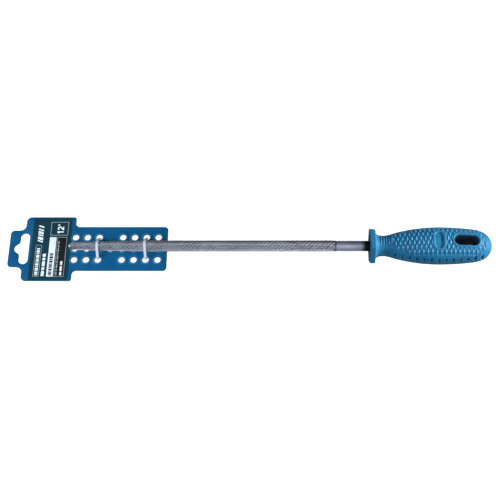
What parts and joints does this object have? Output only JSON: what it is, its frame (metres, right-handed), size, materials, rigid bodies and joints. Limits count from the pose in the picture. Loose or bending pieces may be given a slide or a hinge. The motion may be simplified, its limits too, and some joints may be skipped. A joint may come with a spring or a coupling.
{
  "type": "wood rasp",
  "caption": "Round wood rasp with a soft slotted handle and hexagonal collar, tied by two nylon loops to a flat hang card with a euro slot and ringed holes.",
  "frame": {"origin": "centre of the whole object's box, which lies on the blade's axis", "axes": "+X along the blade towards the handle's end, +Y across the card, +Z out of the card's front face and the handle's face"},
  "size_m": [0.4824, 0.071, 0.0328],
  "materials": {
    "blade_steel": "hardened grey steel with raised teeth, smoother drawn shank",
    "core_black": "black polypropylene, fine moulded texture",
    "grip_blue": "soft-touch blue cover, satin, raised diamonds",
    "card_blue": "injection moulded blue plastic, satin",
    "label_dark": "dark printed film label with pale print",
    "label_back": "plain white paper label with grey lines",
    "tie_nylon": "natural translucent nylon"
  },
  "bodies": {
    "rasp": {"rasp_blade": "blade_steel", "handle_core": "core_black", "grip_cover": "grip_blue"},
    "ties": {"tie_tip": "tie_nylon", "tie_handle": "tie_nylon"},
    "card": {"hang_card": "card_blue", "front_label": "label_dark", "back_label": "label_back"}
  },
  "joints": [
    {"name": "blade_spin", "type": "hinge", "parent": "rasp", "child": "ties", "pos_m": [-0.1262, 0, 0], "axis": [1, 0, 0], "continuous": true},
    {"name": "card_play", "type": "slide", "parent": "ties", "child": "card", "axis": [1, 0, 0], "range_m": [-0.001, 0.001]}
  ]
}
